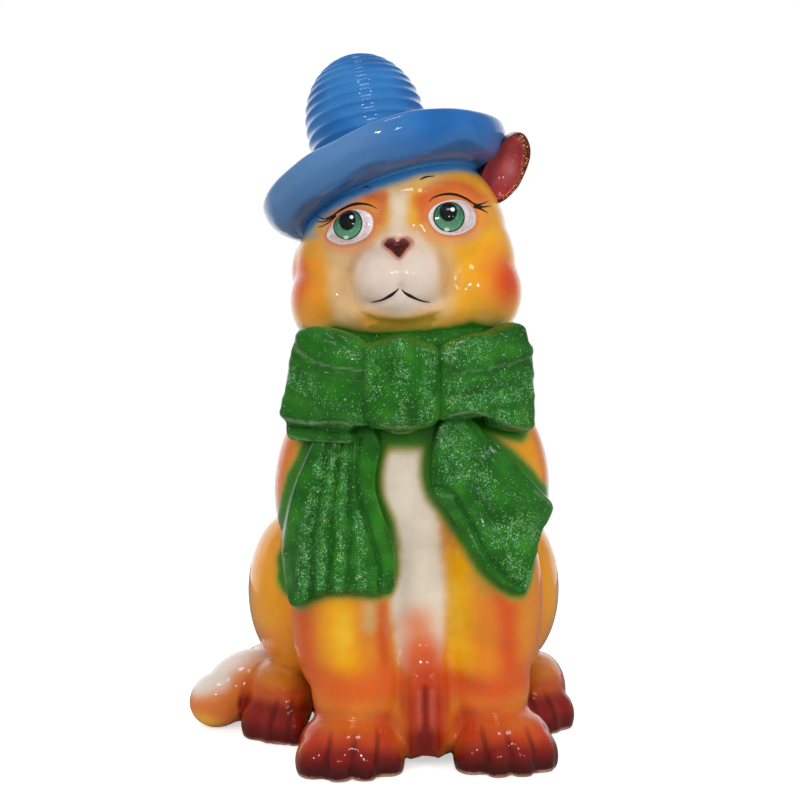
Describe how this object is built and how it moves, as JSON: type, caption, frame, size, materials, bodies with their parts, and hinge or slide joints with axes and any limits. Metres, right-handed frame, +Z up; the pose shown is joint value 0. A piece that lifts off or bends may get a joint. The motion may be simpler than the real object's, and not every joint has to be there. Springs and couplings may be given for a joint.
{
  "type": "souvenir figurine",
  "caption": "Sitting cat figurine in a ribbed hat with an upturned brim and a scarf tied in a large bow: a hollow, painted and lacquered casting that stands on a flat base.",
  "frame": {"origin": "centre of the figure's bounding box, on the plane that it stands on", "axes": "+Z up; the cat looks along -Y; its own left is +X, so its tail lies on -X"},
  "size_m": [0.2174, 0.162, 0.3803],
  "materials": {
    "orange_glaze": "airbrushed orange and yellow paint under a gloss lacquer",
    "cream_glaze": "airbrushed cream paint under a gloss lacquer, orange at its edges",
    "maroon_glaze": "airbrushed maroon paint under a gloss lacquer",
    "blue_glaze": "blue paint under a gloss lacquer",
    "green_glitter": "green paint with coarse green, gold and cyan glitter in the lacquer"
  },
  "bodies": {
    "root": {"torso_shell": "cream_glaze", "head_shell": "orange_glaze", "foreleg_right": "orange_glaze", "foreleg_left": "orange_glaze", "haunch_right": "orange_glaze", "haunch_left": "orange_glaze", "hind_paw_right": "maroon_glaze", "hind_paw_left": "maroon_glaze", "tail": "orange_glaze", "ear_left": "maroon_glaze", "hat_brim": "blue_glaze", "hat_crown": "blue_glaze", "neck_scarf": "green_glitter", "bow_knot": "green_glitter", "bow_loop_right": "green_glitter", "bow_loop_left": "green_glitter", "scarf_end_right": "green_glitter", "scarf_end_left": "green_glitter"}
  },
  "joints": []
}
